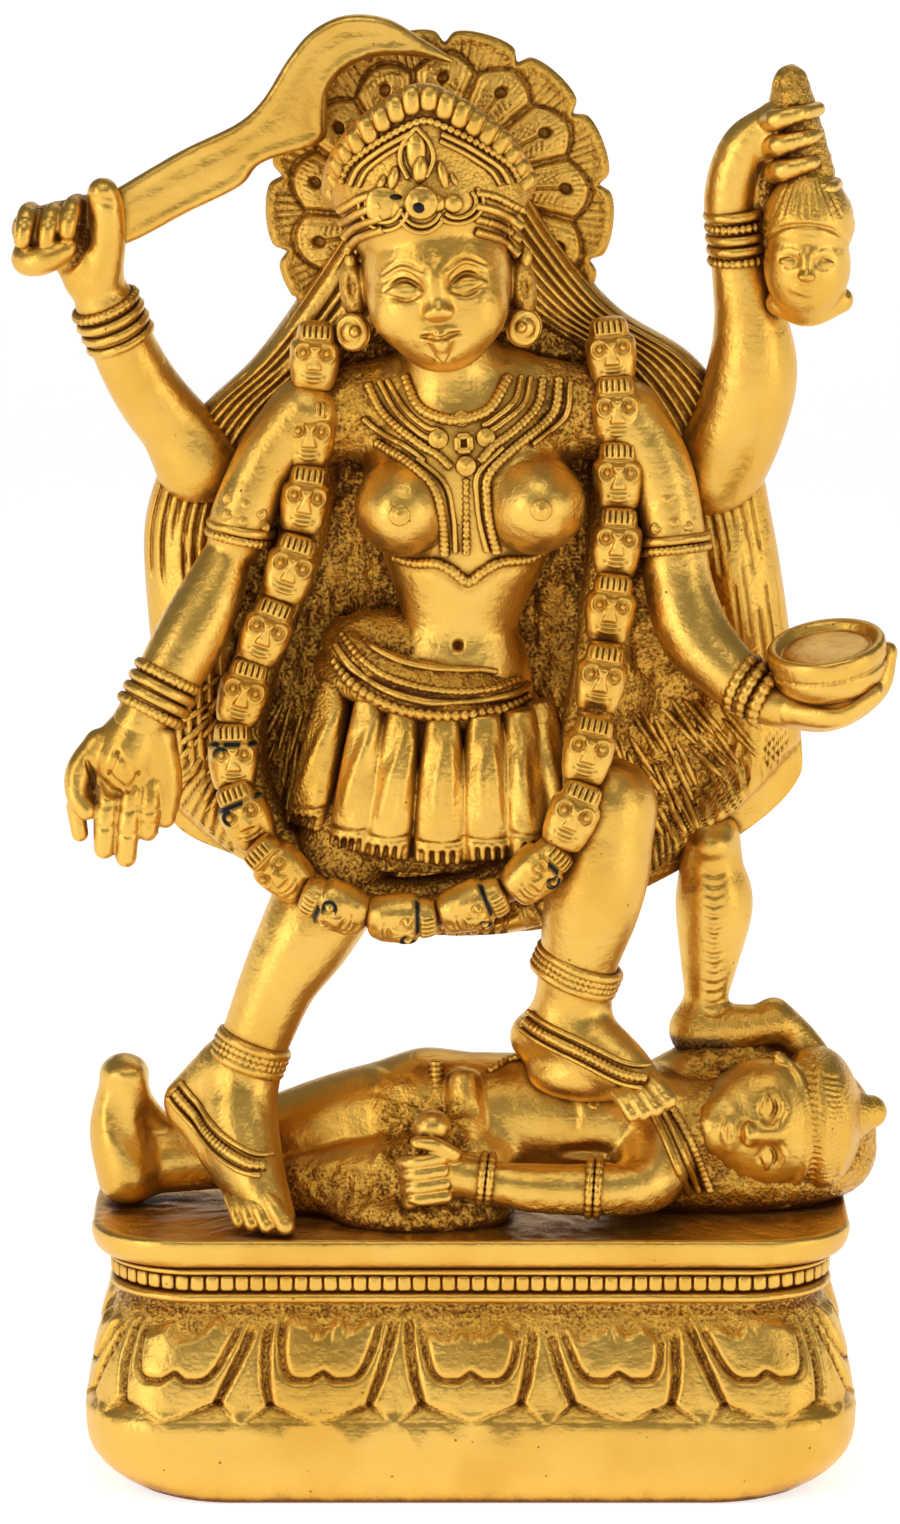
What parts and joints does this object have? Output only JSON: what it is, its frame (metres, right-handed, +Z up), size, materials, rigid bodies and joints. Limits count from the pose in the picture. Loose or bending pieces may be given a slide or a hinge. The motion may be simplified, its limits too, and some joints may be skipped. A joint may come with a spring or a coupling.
{
  "type": "kali statue",
  "caption": "Cast brass statue of the four-armed goddess Kali standing on the reclining Shiva, on an oblong lotus plinth; stands by its own weight.",
  "frame": {"origin": "centre of the plinth's flat underside", "axes": "+Z up, +X towards the viewer's right, the goddess faces -Y"},
  "size_m": [0.123, 0.054, 0.2062],
  "materials": {
    "brass": "polished on the high forms, dark and rough as cast in the recesses"
  },
  "bodies": {
    "root": {"kali_statue": "brass"}
  },
  "joints": []
}
